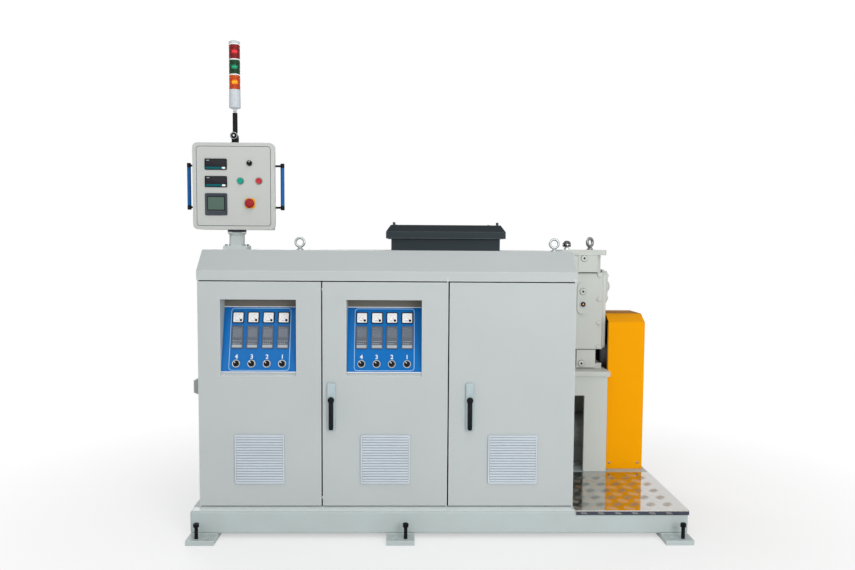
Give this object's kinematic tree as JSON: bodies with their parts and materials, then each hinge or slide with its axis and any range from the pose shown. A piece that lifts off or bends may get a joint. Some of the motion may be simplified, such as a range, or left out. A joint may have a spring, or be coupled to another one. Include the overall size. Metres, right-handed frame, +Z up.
{
  "type": "plastic extruder",
  "caption": "Floor-standing plastic extruder: three-door cabinet on a base frame with control pendant, signal tower, upright gearbox, belt guard and tread plate.",
  "frame": {"origin": "centre of the base frame on the floor, midway between the four corner anchor holes", "axes": "+X to the right along the machine seen from the doors, +Y to the rear, +Z up; the doors face -Y"},
  "size_m": [2.1468, 1.168, 2.0965],
  "materials": {
    "grey_paint": "semi-gloss light grey powder coat",
    "zinc": "zinc-plated steel",
    "aluminium": "bright rolled aluminium",
    "slate_paint": "dark slate powder coat",
    "blue_paint": "satin blue",
    "black_plastic": "matt black",
    "grey_plastic": "light grey",
    "blue_tube": "glossy blue",
    "green_plastic": "glossy green",
    "red_plastic": "glossy red",
    "chrome": "bright chrome",
    "lamp_red": "translucent red lens",
    "lamp_green": "translucent green lens",
    "lamp_amber": "translucent amber lens",
    "gear_paint": "semi-gloss light grey machine paint on cast iron",
    "motor_paint": "semi-gloss dark blue",
    "rubber": "matt black belt on dark pulleys",
    "yellow_paint": "semi-gloss orange-yellow powder coat"
  },
  "bodies": {
    "machine": {"base_crossbars": "grey_paint", "base_rails": "grey_paint", "bearing_cover": "gear_paint", "bed_plate": "grey_paint", "belt_drive": "rubber", "belt_guard": "yellow_paint", "cabinet_back": "grey_paint", "cabinet_floor": "grey_paint", "cabinet_headers": "grey_paint", "cabinet_posts": "grey_paint", "cabinet_side_walls": "grey_paint", "cover": "grey_paint", "drive_motor": "motor_paint", "foot_plates": "grey_paint", "gearbox_body": "gear_paint", "gearbox_breather": "chrome", "gearbox_plugs": "chrome", "gearbox_stand": "grey_paint", "gearbox_top": "gear_paint", "guard_back": "slate_paint", "jack_screws": "zinc", "lifting_eyes": "zinc", "mounting_panel": "grey_paint", "pendant_post": "grey_plastic", "side_cowl": "grey_paint", "tread_plate": "aluminium", "vent_hood": "slate_paint"},
    "door_left": {"door_left": "grey_paint", "window_box_left": "grey_paint", "control_plate_left": "blue_paint", "instruments_left": "black_plastic", "rotary_switches_left": "black_plastic", "grille_left": "grey_plastic"},
    "door_middle": {"door_middle": "grey_paint", "window_box_middle": "grey_paint", "control_plate_middle": "blue_paint", "instruments_middle": "black_plastic", "rotary_switches_middle": "black_plastic", "grille_middle": "grey_plastic", "handle_plate_middle": "black_plastic"},
    "door_right": {"door_right": "grey_paint", "grille_right": "grey_plastic", "handle_plate_right": "black_plastic"},
    "lever_middle": {"handle_lever_middle": "black_plastic"},
    "lever_right": {"handle_lever_right": "black_plastic"},
    "pendant": {"pendant_collar": "black_plastic", "pendant_box": "grey_plastic", "pendant_meters": "black_plastic", "button_rings": "chrome", "pendant_grips": "blue_tube", "tower_bracket": "black_plastic"},
    "start": {"start_button": "green_plastic"},
    "stop": {"stop_button": "red_plastic"},
    "selector": {"selector_knob": "black_plastic"},
    "emergency": {"emergency_stop": "red_plastic"},
    "tower": {"tower_stem": "black_plastic", "tower_body": "grey_plastic", "lamp_red": "lamp_red", "lamp_green": "lamp_green", "lamp_amber": "lamp_amber"}
  },
  "joints": [
    {"name": "door_left_hinge", "type": "hinge", "parent": "machine", "child": "door_left", "pos_m": [-0.996, -0.457, 0.592], "axis": [0, 0, -1], "range_deg": [0, 110]},
    {"name": "door_middle_hinge", "type": "hinge", "parent": "machine", "child": "door_middle", "pos_m": [0.024, -0.457, 0.592], "axis": [0, 0, 1], "range_deg": [0, 95]},
    {"name": "door_right_hinge", "type": "hinge", "parent": "machine", "child": "door_right", "pos_m": [0.551, -0.457, 0.592], "axis": [0, 0, 1], "range_deg": [0, 110]},
    {"name": "lever_middle_turn", "type": "hinge", "parent": "door_middle", "child": "lever_middle", "pos_m": [-0.453, -0.48, 0.573], "axis": [0, 1, 0], "range_deg": [0, 90]},
    {"name": "lever_right_turn", "type": "hinge", "parent": "door_right", "child": "lever_right", "pos_m": [0.119, -0.48, 0.573], "axis": [0, 1, 0], "range_deg": [0, 90]},
    {"name": "pendant_swivel", "type": "hinge", "parent": "machine", "child": "pendant", "pos_m": [-0.9, -0.135, 1.26], "axis": [0, 0, 1], "range_deg": [-60, 60]},
    {"name": "tower_fold", "type": "hinge", "parent": "pendant", "child": "tower", "pos_m": [-0.904, -0.135, 1.684], "axis": [0, 1, 0], "range_deg": [0, 90]},
    {"name": "start_press", "type": "slide", "parent": "pendant", "child": "start", "axis": [0, 1, 0], "range_m": [0, 0.003], "stiffness_N_per_m": 600},
    {"name": "stop_press", "type": "slide", "parent": "pendant", "child": "stop", "axis": [0, 1, 0], "range_m": [0, 0.003], "stiffness_N_per_m": 600},
    {"name": "selector_turn", "type": "hinge", "parent": "pendant", "child": "selector", "pos_m": [-0.8305, -0.2, 1.5616], "axis": [0, 1, 0], "range_deg": [0, 90]},
    {"name": "emergency_press", "type": "slide", "parent": "pendant", "child": "emergency", "axis": [0, 1, 0], "range_m": [0, 0.005], "stiffness_N_per_m": 1000}
  ]
}
